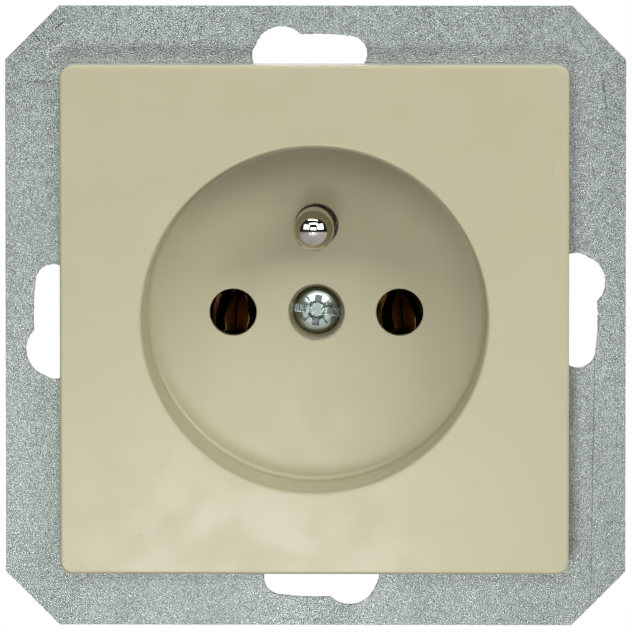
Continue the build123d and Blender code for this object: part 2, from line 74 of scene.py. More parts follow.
def put(tree, kind, inputs=None, **settings):
    node = tree.nodes.new(kind)
    for name, value in settings.items():
        setattr(node, name, value)
    feed(node, inputs or {})
    return node


def calc(operation, *values):
    inputs = dict(enumerate(values))
    return put(treeOf(*values), "ShaderNodeMath", inputs, operation=operation).outputs[0]


def plus(first, second):
    return calc("ADD", first, second)


def less(first, second):
    return calc("SUBTRACT", first, second)


def times(first, second):
    return calc("MULTIPLY", first, second)


def over(first, second):
    return calc("DIVIDE", first, second)


def vectorCalc(operation, *values, output=0):
    inputs = dict(enumerate(values))
    return put(treeOf(*values), "ShaderNodeVectorMath", inputs, operation=operation).outputs[output]


def axes(vector):
    return put(treeOf(vector), "ShaderNodeSeparateXYZ", {"Vector": vector}).outputs


def triple(x, y, z):
    if not any(isSocket(value) for value in (x, y, z)):
        return (x, y, z)
    return put(treeOf(x, y, z), "ShaderNodeCombineXYZ", {"X": x, "Y": y, "Z": z}).outputs[0]


def mixColours(factor, first, second):
    inputs = {"Factor": factor, "A": first, "B": second}
    return put(treeOf(factor), "ShaderNodeMix", inputs, data_type="RGBA").outputs["Result"]


def ramp(value, low, high, lowResult=0.0, highResult=1.0, kind="SMOOTHSTEP"):
    inputs = {
        "Value": value,
        "From Min": low,
        "From Max": high,
        "To Min": lowResult,
        "To Max": highResult,
    }
    node = put(treeOf(value), "ShaderNodeMapRange", inputs, interpolation_type=kind)
    return node.outputs["Result"]


def noise(place, size, detail=2.0, roughness=0.5):
    inputs = {"Vector": place, "Scale": 1 / size, "Detail": detail, "Roughness": roughness}
    return put(treeOf(place), "ShaderNodeTexNoise", inputs).outputs["Fac"]


noiseRange = (0.3, 0.7)  # nearly all values of a noise lie here


def spread(value, lowResult=0.0, highResult=1.0):
    return ramp(value, *noiseRange, lowResult, highResult)


def startMaterial(name):
    material = bpy.data.materials.new(name)
    material.use_nodes = True
    place = put(material.node_tree, "ShaderNodeTexCoord").outputs["Object"]
    return material, material.node_tree.nodes["Principled BSDF"], place


def bumped(shader, height, strength, distance):
    inputs = {"Height": height, "Strength": strength, "Distance": distance}
    feed(shader, {"Normal": put(treeOf(height), "ShaderNodeBump", inputs).outputs["Normal"]})


markCore = 0.4  # share of a mark's half width that has its full strength


# short straight marks on the front of a piece, as one soft mask
def markMask(place, marks):
    total = None
    for startX, startZ, endX, endZ, halfWidth, depth in marks:
        start = Vector((startX * mm, 0, startZ * mm))
        along = Vector((endX * mm, 0, endZ * mm)) - start
        flat = vectorCalc("MULTIPLY", place, (1, 0, 1))
        offset = vectorCalc("SUBTRACT", flat, start)
        share = vectorCalc("DOT_PRODUCT", offset, along, output=1)
        share = ramp(over(share, along.length_squared), 0, 1, kind="LINEAR")
        inputs = {0: along, "Scale": share}
        nearest = put(treeOf(share), "ShaderNodeVectorMath", inputs, operation="SCALE").outputs[0]
        distance = vectorCalc("DISTANCE", offset, nearest, output=1)
        mask = ramp(distance, halfWidth * mm * markCore, halfWidth * mm, depth, 0)
        total = mask if total is None else calc("MAXIMUM", total, mask)
    return total


# ---- finishes; sizes of patterns in m, a bump as its strength and distance
creamLook = {
    "colour": (0.503, 0.468, 0.308, 1),
    "cloudColour": (0.46, 0.42, 0.258, 1),
    "cloudShare": (0.02, 0.10),
    "cloudSize": 0.012,
    "paintedHoleShade": (0.48, 0.40, 0.22, 1),  # painted warm shade: darker, browner colour inside the holes
    "paintedHoleShadeFrom": 5.55,  # mm behind the wall's face
    "paintedHoleShadeTo": 6.2,
    "paintedHoleShadeShare": 0.8,
    "rough": (0.21, 0.26),
    "roughSize": 0.004,
    "ior": 1.48,
    "grain": 0.00022,
    "grainHeight": 0.4,
    "bump": (0.10, 0.00003),
    "markColour": (0.20, 0.17, 0.10, 1),
    "markShare": 0.6,
    "markRough": 0.3,
    "marks": [  # x, z of both ends in mm, half width in mm, strength
        (26.5, 18.3, 27.0, 17.4, 0.09, 0.5),
        (27.0, 17.4, 26.8, 16.5, 0.09, 0.5),
        (26.4, 14.7, 26.45, 14.6, 0.12, 0.5),
        (22.2, 5.7, 22.25, 5.6, 0.13, 0.5),
        (12.9, 12.5, 12.95, 12.45, 0.12, 0.7),
        (14.1, 11.0, 14.15, 10.95, 0.11, 0.7),
        (11.1, 11.6, 11.15, 11.55, 0.10, 0.6),
        (18.4, 4.7, 18.45, 4.65, 0.10, 0.4),
        (-16.4, -15.1, -16.1, -15.2, 0.14, 0.35),
        (-19.8, -24.2, -19.4, -24.4, 0.14, 0.35),
        (17.9, -18.2, 18.2, -18.5, 0.14, 0.35),
    ],
}


def creamPlastic():
    look = creamLook
    material, shader, place = startMaterial("creamPlastic")
    clouds = spread(noise(place, look["cloudSize"], 3), *look["cloudShare"])
    colour = mixColours(clouds, look["colour"], look["cloudColour"])
    marks = markMask(place, look["marks"])
    colour = mixColours(times(marks, look["markShare"]), colour, look["markColour"])
    # painted warm shade: the colour darkens and warms with depth inside the holes
    level, share = axes(place)["Y"], look["paintedHoleShadeShare"]
    inside = ramp(level, look["paintedHoleShadeFrom"] * mm, look["paintedHoleShadeTo"] * mm, 0.0, share)
    rough = spread(noise(place, look["roughSize"], 4), *look["rough"])
    inputs = {
        "Base Color": mixColours(inside, colour, look["paintedHoleShade"]),
        "Roughness": plus(rough, times(marks, look["markRough"])),
        "IOR": look["ior"],
    }
    feed(shader, inputs)
    height = less(times(noise(place, look["grain"]), look["grainHeight"]), marks)
    bumped(shader, height, *look["bump"])
    return material


steelLook = {
    "dark": (0.06, 0.07, 0.07, 1),
    "light": (0.575, 0.63, 0.595, 1),
    "middle": 0.34,  # share of the light tone
    "grain": 0.00013,
    "grainRange": (0.32, 0.68),
    "grainContrast": 0.13,
    "blotchSize": 0.0011,
    "blotchContrast": 0.035,
    "streakSize": 0.009,
    "streakStretch": (1.0, 1.0, 0.25),
    "streakContrast": 0.03,
    "rough": (0.20, 0.26),
    "bump": (0.7, 0.00004),
    "marks": [  # x, z of both ends in mm, half width in mm, strength
        (-29.4, 32.6, -28.4, 33.4, 0.10, 0.35),
        (-31.8, 31.9, -31.2, 31.2, 0.12, 0.35),
        (-32.6, 26.5, -30.0, 26.5, 0.18, 0.12),
        (-32.4, 22.8, -32.4, 21.3, 0.16, 0.12),
        (32.4, 27.3, 33.0, 23.2, 0.20, 0.12),
        (31.7, 0.0, 31.2, -33.0, 0.09, 0.12),
    ],
    "brightMarks": [(-30.5, 29.8, -29.7, 28.7, 0.08, 0.3), (22.0, -31.5, 23.6, -30.0, 0.08, 0.2)],
}


def galvanisedSteel():
    look = steelLook
    material, shader, place = startMaterial("galvanisedSteel")
    grain = noise(place, look["grain"], detail=1.0, roughness=0.6)
    blotches = noise(place, look["blotchSize"], 3)
    inputs = {"Vector": place, "Scale": look["streakStretch"]}
    streaks = put(treeOf(place), "ShaderNodeMapping", inputs).outputs[0]
    contrast = look["grainContrast"]
    level = ramp(grain, *look["grainRange"], -contrast, contrast, "LINEAR")
    level = plus(level, look["middle"])
    contrast = look["blotchContrast"]
    level = plus(level, spread(blotches, -contrast, contrast))
    contrast = look["streakContrast"]
    level = plus(level, spread(noise(streaks, look["streakSize"]), -contrast, contrast))
    level = less(level, markMask(place, look["marks"]))
    level = plus(level, markMask(place, look["brightMarks"]))
    tone = ramp(level, 0.0, 1.0, kind="LINEAR")
    inputs = {
        "Base Color": mixColours(tone, look["dark"], look["light"]),
        "Metallic": 1.0,
        "Roughness": spread(blotches, *look["rough"]),
    }
    feed(shader, inputs)
    bumped(shader, grain, *look["bump"])
    return material


plainMetals = {  # metals of one colour, some with dirt
    "nickel": {
        "name": "polishedNickel",
        "colour": (0.73, 0.70, 0.65, 1),
        "rough": (0.04, 0.08),
        "grain": 0.0004,
        "bump": (0.15, 0.000002),
    },
    "zinc_screw": {
        "name": "zincPlate",
        "colour": (0.40, 0.475, 0.445, 1),
        "rough": (0.12, 0.18),
        "grain": 0.0003,
        "bump": (0.15, 0.000005),
        "dirt": (0.27, 0.35, 0.31, 1),
        "dirtSize": 0.001,
    },
    "spring_steel": {
        "name": "springSteel",
        "colour": (0.23, 0.10, 0.035, 1),
        "rough": (0.34, 0.50),
        "grain": 0.0003,
        "bump": (0.15, 0.00001),
        "dirt": (0.15, 0.065, 0.025, 1),
        "dirtSize": 0.002,
    },
}
dirtRange, dirtShare = (0.45, 0.75), 0.8


def plainMetal(look):
    material, shader, place = startMaterial(look["name"])
    colour = look["colour"]
    if "dirt" in look:
        stains = ramp(noise(place, look["dirtSize"], 3), *dirtRange, 0.0, dirtShare)
        colour = mixColours(stains, colour, look["dirt"])
    fine = noise(place, look["grain"], 3)
    feed(shader, {"Base Color": colour, "Metallic": 1.0, "Roughness": spread(fine, *look["rough"])})
    bumped(shader, fine, *look["bump"])
    return material


brassLook = {  # levels and reaches in mm
    "colour": (0.34, 0.205, 0.042, 1),
    "stain": (0.24, 0.135, 0.028, 1),
    "stainSize": 0.002,
    "stainRange": (0.40, 0.75),
    "paintedEdgeShade": (0.002, 0.0015, 0.001, 1),
    "paintedEdgeShadeFront": 9.84,  # painted shade: everything in front of this level is painted near black, without reflection
    "paintedEdgeShadeSoft": 0.01,
    "paintedEdgeShadeRough": 0.4,
    "wornAndHighlight": (0.86, 0.64, 0.24, 1),  # worn brass with a painted highlight: the bright line just behind the painted-shade edge
    "wornAndHighlightTo": 9.97,
    "wornAndHighlightSoft": 0.02,
    "wornAndHighlightFrom": (1.75, 1.95),  # from a pin's axis
    "wornAndHighlightMetallic": 0.45,
    "pinReach": 9.5,  # from the middle to a pin's axis
    "rough": (0.28, 0.44),
    "grain": 0.0004,
    "specular": 0.5,
    "bump": (0.15, 0.00002),
}


def contactBrass():
    look = brassLook
    material, shader, place = startMaterial("contactBrass")
    parts = axes(place)

    def before(level, soft):  # 1 in front of a level, 0 behind it
        return ramp(parts["Y"], (level - soft) * mm, (level + soft) * mm, 1.0, 0.0)

    stains = ramp(noise(place, look["stainSize"], 3), *look["stainRange"], 0.0, dirtShare)
    # painted shade: the leaves' front faces are painted near black, rougher and without specular
    front = before(look["paintedEdgeShadeFront"], look["paintedEdgeShadeSoft"])
    # worn brass and painted highlight: a bright, less metallic band on the leaves' outer front
    # edges
    sideways = less(calc("ABSOLUTE", parts["X"]), look["pinReach"] * mm)
    away = vectorCalc("LENGTH", triple(sideways, 0.0, parts["Z"]), output=1)
    near, far = look["wornAndHighlightFrom"]
    wornAndHighlight = times(before(look["wornAndHighlightTo"], look["wornAndHighlightSoft"]), ramp(away, near * mm, far * mm))
    colour = mixColours(stains, look["colour"], look["stain"])
    colour = mixColours(wornAndHighlight, colour, look["wornAndHighlight"])
    fine = noise(place, look["grain"], 3)
    rough = spread(fine, *look["rough"])
    inputs = {
        "Base Color": mixColours(front, colour, look["paintedEdgeShade"]),
        "Metallic": ramp(wornAndHighlight, 0, 1, 1.0, look["wornAndHighlightMetallic"]),
        "Roughness": plus(rough, times(front, look["paintedEdgeShadeRough"])),
        "Specular IOR Level": ramp(front, 0, 1, look["specular"], 0.0),
    }
    feed(shader, inputs)
    bumped(shader, fine, *look["bump"])
    return material


mouldingLook = {
    "colour": (0.140, 0.056, 0.020, 1),
    "cloudColour": (0.175, 0.075, 0.029, 1),
    "cloudSize": 0.006,
    "rough": (0.50, 0.64),
    "specular": 0.3,
    "grain": 0.00035,
    "bump": (0.25, 0.00003),
}


def darkMoulding():
    look = mouldingLook
    material, shader, place = startMaterial("darkMoulding")
    clouds = spread(noise(place, look["cloudSize"], 3))
    fine = noise(place, look["grain"], 3)
    inputs = {
        "Base Color": mixColours(clouds, look["colour"], look["cloudColour"]),
        "Roughness": spread(fine, *look["rough"]),
        "Specular IOR Level": look["specular"],
    }
    feed(shader, inputs)
    bumped(shader, fine, *look["bump"])
    return material


finishes = {finish: plainMetal(look) for finish, look in plainMetals.items()}
finishes["cream_plastic"] = creamPlastic()
finishes["galvanised_steel"] = galvanisedSteel()
finishes["contact_brass"] = contactBrass()
finishes["base_plastic"] = darkMoulding()
for node in nodes.values():
    for place in node.material_slots:
        place.material = finishes[place.material.name.split(".")[0]]
print("finishes on every CAD node")


# ---- geometry trees
def startGeometry(name, labels, takesMesh=False):
    tree = bpy.data.node_groups.new(name, "GeometryNodeTree")

    def socket(label, kind, way="INPUT"):
        return tree.interface.new_socket(label, in_out=way, socket_type="NodeSocket" + kind)

    if takesMesh:
        socket("Mesh", "Geometry")
    sockets = {label: socket(label, "Float") for label in labels}
    sockets["Material"] = socket("Material", "Material")
    socket("Mesh", "Geometry", "OUTPUT")
    tree["identifiers"] = {label: item.identifier for label, item in sockets.items()}
    return tree, put(tree, "NodeGroupInput").outputs


def geo(tree, kind, inputs=None, **settings):
    return put(tree, "GeometryNode" + kind, inputs, **settings).outputs[0]


def endGeometry(tree, given, geometry, sharpAngle=32):
    sharp = calc("GREATER_THAN", geo(tree, "InputMeshEdgeAngle"), math.radians(sharpAngle))
    smooth = geo(tree, "SetShadeSmooth", {"Geometry": geometry, "Shade Smooth": True})
    inputs = {"Geometry": smooth, "Selection": sharp, "Shade Smooth": False}
    edged = geo(tree, "SetShadeSmooth", inputs, domain="EDGE")
    real = geo(tree, "RealizeInstances", {"Geometry": edged})
    done = geo(tree, "SetMaterial", {"Geometry": real, "Material": given["Material"]})
    feed(put(tree, "NodeGroupOutput"), {0: done})


# runs a tree on a mesh, or on nothing, and returns a plain mesh; sizes in mm, apart from shares
def runGeometry(tree, sizes, finish, mesh=None):
    holder = bpy.data.objects.new("holder", mesh or bpy.data.meshes.new("holder"))
    bpy.context.scene.collection.objects.link(holder)
    modifier = holder.modifiers.new("tree", "NODES")
    modifier.node_group = tree
    for label, size in sizes.items():
        modifier[tree["identifiers"][label]] = size if label.endswith("share") else size * mm
    modifier[tree["identifiers"]["Material"]] = finishes[finish]
    ready = holder.evaluated_get(bpy.context.evaluated_depsgraph_get())
    made = bpy.data.meshes.new_from_object(ready)
    bpy.data.objects.remove(holder)
    return made


def join(*parts):
    node = put(treeOf(*parts), "GeometryNodeJoinGeometry")
    for part in parts:
        feed(node, {0: part})
    return node.outputs[0]


def moved(geometry, place=(0, 0, 0), turn=(0, 0, 0)):
    inputs = {"Geometry": geometry, "Translation": place, "Rotation": turn}
    return geo(treeOf(geometry), "Transform", inputs)


standUp = (math.pi / 2, 0, 0)  # turns local Z, out of a piece, to the front


def chosen(tree, kind, values):
    node = put(tree, "GeometryNodeIndexSwitch", data_type=kind)
    while len(node.index_switch_items) < len(values):
        node.index_switch_items.new()
    feed(node, dict(enumerate([geo(tree, "InputIndex"), *values])))
    return node.outputs[0]


# a cross-section: (reach, level, rounding) of each corner, as the points of a mesh line
def section(tree, corners, steps=7):
    line = geo(tree, "MeshLine", {"Count": len(corners)})
    spots = chosen(tree, "VECTOR", [triple(reach, 0, level) for reach, level, _ in corners])
    rounding = chosen(tree, "FLOAT", [rounded for _, _, rounded in corners])
    placed = geo(tree, "SetPosition", {"Geometry": line, "Position": spots})
    curve = geo(tree, "MeshToCurve", {"Mesh": placed})
    inputs = {"Curve": curve, "Radius": rounding, "Count": steps, "Limit Radius": True}
    return geo(tree, "CurveToMesh", {"Curve": geo(tree, "FilletCurve", inputs, mode="POLY")})


tightest = 0.1  # mm, least corner radius of a square ring
threadFrom = 0.95  # share of the outer radius from which a shank has its thread
manyTurns = 100  # keeps the count of turns above zero


# sweeps a cross-section round the middle; rings wider than squareFrom are rounded squares
def swept(sectionMesh, columns, squareFrom=None, half=None, cornerRadius=None, thread=None):
    tree = treeOf(sectionMesh)
    rows = geo(tree, "AttributeDomainSize", {"Geometry": sectionMesh}, component="MESH")
    grid = geo(tree, "MeshGrid", {"Vertices X": rows, "Vertices Y": columns})
    index = geo(tree, "InputIndex")
    row = calc("FLOOR", over(index, columns))
    column = less(index, times(row, columns))
    inputs = {"Geometry": sectionMesh, "Value": geo(tree, "InputPosition"), "Index": row}
    sample = geo(tree, "SampleIndex", inputs, data_type="FLOAT_VECTOR", domain="POINT")
    reach, level = axes(sample)["X"], axes(sample)["Z"]
    if thread:
        pitch, depth, outer = thread
        turns = plus(plus(over(level, pitch), manyTurns), over(column, columns - 1))
        wave = calc("ABSOLUTE", less(calc("FRACT", turns), 0.5))
        isThread = calc("GREATER_THAN", reach, times(outer, threadFrom))
        reach = less(reach, times(times(times(wave, 2), depth), isThread))
    if half is None:
        angle = times(column, math.tau / (columns - 1))
        x = times(reach, calc("COSINE", angle))
        y = times(reach, calc("SINE", angle))
    else:
        perQuarter = (columns - 1) // 4
        quarter = calc("FLOOR", over(column, perQuarter))
        share = over(less(column, times(quarter, perQuarter)), perQuarter - 1)
        angle = times(plus(quarter, share), math.pi / 2)
        corner = times(plus(quarter, 0.5), math.pi / 2)
        bend = calc("MAXIMUM", less(cornerRadius, less(half, reach)), tightest * mm)
        isSquare = calc("GREATER_THAN", reach, squareFrom)
        bend = plus(times(bend, isSquare), times(reach, less(1, isSquare)))
        out = times(less(reach, bend), math.sqrt(2))
        x = plus(times(out, calc("COSINE", corner)), times(bend, calc("COSINE", angle)))
        y = plus(times(out, calc("SINE", corner)), times(bend, calc("SINE", angle)))
    return geo(tree, "SetPosition", {"Geometry": grid, "Position": triple(x, y, level)})


weldDistance = 0.002  # mm


def welded(geometry):
    inputs = {"Geometry": geometry, "Distance": weldDistance * mm}
    return geo(treeOf(geometry), "MergeByDistance", inputs)


def flipped(geometry):
    return geo(treeOf(geometry), "FlipFaces", {"Mesh": geometry})


def ring(radius, sides):
    return geo(treeOf(radius), "CurvePrimitiveCircle", {"Resolution": sides, "Radius": radius})


# a flat face between curves, facing the front, or the back if flipped
def filled(level, *curves, flip=False):
    face = geo(treeOf(level), "FillCurve", {"Curve": join(*curves)})
    return moved(flipped(face) if flip else face, triple(0, 0, level))


def addPiece(name, mesh, finish, replaced):
    mesh.name = name
    if not mesh.materials:
        mesh.materials.append(finishes[finish])
    piece = bpy.data.objects.new(name, mesh)
    bpy.context.scene.collection.objects.link(piece)
    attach(piece, "root")
    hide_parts(replaced)
    print("made", name, "-", len(mesh.polygons), "faces")
    return piece


# ---- centre plate: one moulding, swept from its cross-section
centrePlate = {  # mm; levels count from the wall towards the front
    "Half side": 28.65,
    "Corner radius": 1.4,
    "Edge radius": 0.28,
    "Front level": 9.5,
    "Skirt level": 1.6,
    "Skirt wall": 1.8,
    "Skirt edge": 0.12,
    "Front wall": 2.0,
    "Recess radius": 19.5,
    "Rim radius": 0.35,
    "Floor radius": 19.25,
    "Floor level": -5.5,
    "Floor rounding": 0.5,
    "Floor wall": 2.0,
    "Cup radius": 21.1,
    "Pin pitch": 19.0,
    "Pin hole radius": 2.675,
    "Earth hole radius": 2.45,
    "Earth hole height": 9.93,
    "Hole edge": 0.12,
    "Well radius": 3.2,
    "Well depth": 6.1,
    "Well foot radius": 2.74,
    "Well foot level": -9.3,
    "Well floor": 1.5,
    "Well tube radius": 4.2,
    "Screw hole radius": 1.75,
    "Rib height": 2.8,
    "Rib thickness": 1.2,
    "Rib overlap": 0.6,
    "Rib extra length": 3.2,
}
squareAbove = 24.0  # mm, wider rings of the centre plate are square
support = 0.05  # mm, keeps shading tight beside a rounding
lowLean, highLean, skirtRise = 0.02, 0.01, 0.2  # mm, small steps between rounded corners
cornerSteps, holeSides, holeSteps, ribCount = 48, 96, 4, 8


def centrePlateTree():
    tree, given = startGeometry("centrePlate", centrePlate)
    front, floor, edge = given["Front level"], given["Floor level"], given["Hole edge"]
    half, tight = given["Half side"], support * mm
    recess, rim, cup = given["Recess radius"], given["Rim radius"], given["Cup radius"]
    foot, rounding = given["Floor radius"], given["Floor rounding"]
    floorBack = less(floor, given["Floor wall"])
    floorEdge = less(less(foot, rounding), tight)
    under = less(front, given["Front wall"])
    inner = less(half, given["Skirt wall"])
    low, skirtEdge = given["Skirt level"], given["Skirt edge"]
    shell = [
        (floorEdge, floor, 0.0),
        (foot, floor, rounding),
        (plus(foot, lowLean * mm), plus(plus(floor, rounding), tight), 0.0),
        (less(recess, highLean * mm), less(less(front, rim), tight), 0.0),
        (recess, front, rim),
        (plus(plus(recess, rim), tight), front, 0.0),
        (less(less(half, given["Edge radius"]), tight), front, 0.0),
        (half, front, given["Edge radius"]),
        (half, less(less(front, given["Edge radius"]), tight), 0.0),
        (half, plus(low, skirtRise * mm), 0.0),
        (half, low, skirtEdge),
        (inner, low, skirtEdge),
        (inner, under, 0.0),
        (cup, under, 0.0),
        (cup, floorBack, 0.0),
    ]
    columns = 4 * (cornerSteps + 1) + 1
    square = (squareAbove * mm, half, given["Corner radius"])
    body = swept(section(tree, shell), columns, *square)

    # the wall of a hole, down from a rounded mouth in the recess floor
    def tube(radius, *below):
        mouthCorners = [
            (plus(plus(radius, edge), tight), floor, 0.0),
            (radius, floor, edge),
            (radius, less(less(floor, edge), tight), 0.0),
        ]
        profile = section(tree, mouthCorners + [(*corner, 0.0) for corner in below], holeSteps)
        return flipped(swept(profile, holeSides + 1))

    def mouth(radius):
        return ring(plus(plus(radius, edge), tight), holeSides)

    number = geo(tree, "InputIndex")
    sideways = times(less(times(number, 2), 1), over(given["Pin pitch"], 2))
    pinSpots = geo(tree, "Points", {"Count": 2, "Position": triple(sideways, 0, 0)})

    def atPins(geometry):
        copies = geo(tree, "InstanceOnPoints", {"Points": pinSpots, "Instance": geometry})
        return geo(tree, "RealizeInstances", {"Geometry": copies})

    def atEarth(geometry):
        return moved(geometry, triple(0, given["Earth hole height"], 0))

    pinHole, earthHole = given["Pin hole radius"], given["Earth hole radius"]
    wellFoot, screwHole, wellTube = (
        given[label] for label in ("Well foot radius", "Screw hole radius", "Well tube radius")
    )
    wellLow = less(floor, given["Well depth"])
    wellBack = less(wellLow, given["Well floor"])
    wellBelow = [
        (wellFoot, given["Well foot level"]),
        (wellFoot, wellLow),
        (screwHole, wellLow),
        (screwHole, wellBack),
        (wellTube, wellBack),
        (wellTube, floorBack),
    ]
    frontFace = filled(
        floor,
        ring(floorEdge, 4 * cornerSteps),
        atPins(mouth(pinHole)),
        atEarth(mouth(earthHole)),
        mouth(given["Well radius"]),
    )
    backFace = filled(
        floorBack,
        ring(cup, 4 * cornerSteps),
        atPins(ring(pinHole, holeSides)),
        atEarth(ring(earthHole, holeSides)),
        ring(wellTube, holeSides),
        flip=True,
    )
    overlap = given["Rib overlap"]
    ribLength = plus(less(inner, cup), given["Rib extra length"])
    ribDepth = plus(given["Rib height"], overlap)
    ribSize = triple(ribLength, given["Rib thickness"], ribDepth)
    turn = times(plus(number, 0.5), math.tau / ribCount)
    ribReach = less(plus(cup, over(ribLength, 2)), overlap)
    ribSpot = triple(
        times(ribReach, calc("COSINE", turn)),
        times(ribReach, calc("SINE", turn)),
        less(plus(under, overlap), over(ribDepth, 2)),
    )
    inputs = {
        "Points": geo(tree, "Points", {"Count": ribCount, "Position": ribSpot}),
        "Instance": geo(tree, "MeshCube", {"Size": ribSize}),
        "Rotation": triple(0, 0, turn),
    }
    ribs = geo(tree, "RealizeInstances", {"Geometry": geo(tree, "InstanceOnPoints", inputs)})
    whole = join(
        body,
        frontFace,
        backFace,
        atPins(tube(pinHole, (pinHole, floorBack))),
        atEarth(tube(earthHole, (earthHole, floorBack))),
        tube(given["Well radius"], *wellBelow),
    )
    endGeometry(tree, given, moved(join(welded(whole), ribs), turn=standUp))
    return tree


centreMesh = runGeometry(centrePlateTree(), centrePlate, "cream_plastic")
addPiece("centrePlate", centreMesh, "cream_plastic", "cover_plate")


# ---- turned screws: a head and a threaded shank, local Z up out of the head
terminalScrew = {  # mm
    "Head radius": 3.0,
    "Head height": 2.2,
    "Edge cut": 0.3,
    "Under radius": 3.0,
    "Slot width": 1.0,
    "Slot depth": 1.1,
    "Cross length": 3.4,
    "Thread radius": 1.74,
    "Thread depth": 0.28,
    "Thread pitch": 0.6,
    "Tip share": 0.17,
    "Length": 3.85,
}
rearScrew = {
    "Head radius": 2.4,
    "Head height": 1.15,
    "Edge cut": 0.08,
    "Under radius": 1.25,
    "Slot width": 0.55,
    "Slot depth": 0.5,
    "Cross length": 2.8,
    "Thread radius": 1.24,
    "Thread depth": 0.22,
    "Thread pitch": 0.8,
    "Tip share": 0.95,
    "Length": 7.85,
}
crossDeeper = 1.3  # depth of the cross as a share of the slot's depth
shankInside = 0.05  # mm, how far the shank reaches into the head
stepsPerTurn = 8
headSides, shankSides = 96, 48


def turnedScrewTree():
    tree, given = startGeometry("turnedScrew", terminalScrew)
    headRadius, headHeight, cut = given["Head radius"], given["Head height"], given["Edge cut"]
    width, depth = given["Slot width"], given["Slot depth"]
    headLow, rounding = times(headHeight, -1), times(cut, 0.8)
    headCorners = [
        (0.0, 0.0, 0.0),
        (less(headRadius, cut), 0.0, rounding),
        (headRadius, times(cut, -1), rounding),
        (given["Under radius"], headLow, 0.0),
        (0.0, headLow, 0.0),
    ]
    head = welded(swept(section(tree, headCorners, 4), headSides + 1))
    slotSize = triple(width, times(headRadius, 3), times(depth, 2))
    crossSize = triple(given["Cross length"], width, times(depth, 2 * crossDeeper))
    recess = put(tree, "GeometryNodeMeshBoolean", operation="UNION", solver="EXACT")
    for size in (slotSize, crossSize):
        feed(recess, {"Mesh 2": geo(tree, "MeshCube", {"Size": size})})
    inputs = {"Mesh 1": head, "Mesh 2": recess.outputs[0]}
    cutHead = geo(tree, "MeshBoolean", inputs, operation="DIFFERENCE", solver="EXACT")

    # a shank from under the head to a blunt tip, in short steps along the thread
    radius, top = given["Thread radius"], times(less(headHeight, shankInside * mm), -1)
    low = less(headLow, given["Length"])
    bevel = times(radius, given["Tip share"])
    corners = [
        (0.0, top, 0.0),
        (radius, top, 0.0),
        (radius, plus(low, bevel), 0.0),
        (less(radius, bevel), low, 0.0),
        (0.0, low, 0.0),
    ]
    curve = geo(tree, "MeshToCurve", {"Mesh": section(tree, corners)})
    inputs = {"Curve": curve, "Length": over(given["Thread pitch"], stepsPerTurn)}
    dense = geo(tree, "ResampleCurve", inputs, mode="LENGTH")
    line = geo(tree, "CurveToMesh", {"Curve": dense})
    thread = (given["Thread pitch"], given["Thread depth"], radius)
    shank = welded(swept(line, shankSides + 1, thread=thread))
    endGeometry(tree, given, join(cutHead, shank), sharpAngle=40)
    return tree


screwTree = turnedScrewTree()


# a screw whose head top lies at spot (mm), pointing outward along its axis
def screwMesh(sizes, spot, outward, turn):
    mesh = runGeometry(screwTree, sizes, "zinc_screw")
    stand = Vector(outward).to_track_quat("Z", "Y").to_matrix().to_4x4()
    place = Matrix.Translation(Vector(spot) * mm) @ stand
    mesh.transform(place @ Matrix.Rotation(math.radians(turn), 4, "Z"))
    return mesh


terminalSpots = {  # head top in mm, direction it faces, slot turn in degrees
    "lineTerminalScrew": ((-24.8, 20.4, 0), (-1, 0, 0), -20, "line_terminal_screw"),
    "neutralTerminalScrew": ((24.8, 20.4, 0), (1, 0, 0), 20, "neutral_terminal_screw"),
    "earthTerminalScrew": ((0, 20.4, 24.8), (0, 0, 1), 20, "earth_terminal_screw"),
}
for name, (spot, outward, turn, replaced) in terminalSpots.items():
    addPiece(name, screwMesh(terminalScrew, spot, outward, turn), "zinc_screw", replaced)

rearFace = 28.2  # mm
rearSpots = [(-14.5, 14.5, 33), (14.5, -14.5, 12)]  # x, z in mm, turn in degrees
pair = bmesh.new()
for x, z, turn in rearSpots:
    pair.from_mesh(screwMesh(rearScrew, (x, rearFace, z), (0, 1, 0), turn))
rearMesh = bpy.data.meshes.new("rearCoverScrews")
pair.to_mesh(rearMesh)
pair.free()
addPiece("rearCoverScrews", rearMesh, "zinc_screw", "rear_cover_screws")


# ---- earth pin: a round bar with a domed nose, a neck, a collar and a riveted tail
earthPin = {  # mm; levels count from the wall towards the front
    "Radius": 2.31,
    "Tip level": 8.5,
    "Neck radius": 2.15,
    "Neck level": -5.3,
    "Neck edge": 0.1,
    "Collar radius": 3.6,
    "Collar level": -9.5,
    "Collar edge": 0.15,
    "Strap level": -10.7,
    "Tail radius": 1.6,
    "Rivet radius": 2.7,
    "Rivet level": -11.5,
    "Rivet height": 0.8,
    "Rivet rounding": 0.4,
}
pinSpot = (-0.13, 9.92)  # mm
pinSides, noseSteps = 128, 28
noseShare, barShare = 0.999, 1.03  # of the radius: the nose's rounding, and where the bar begins
neckRise = 0.2  # mm


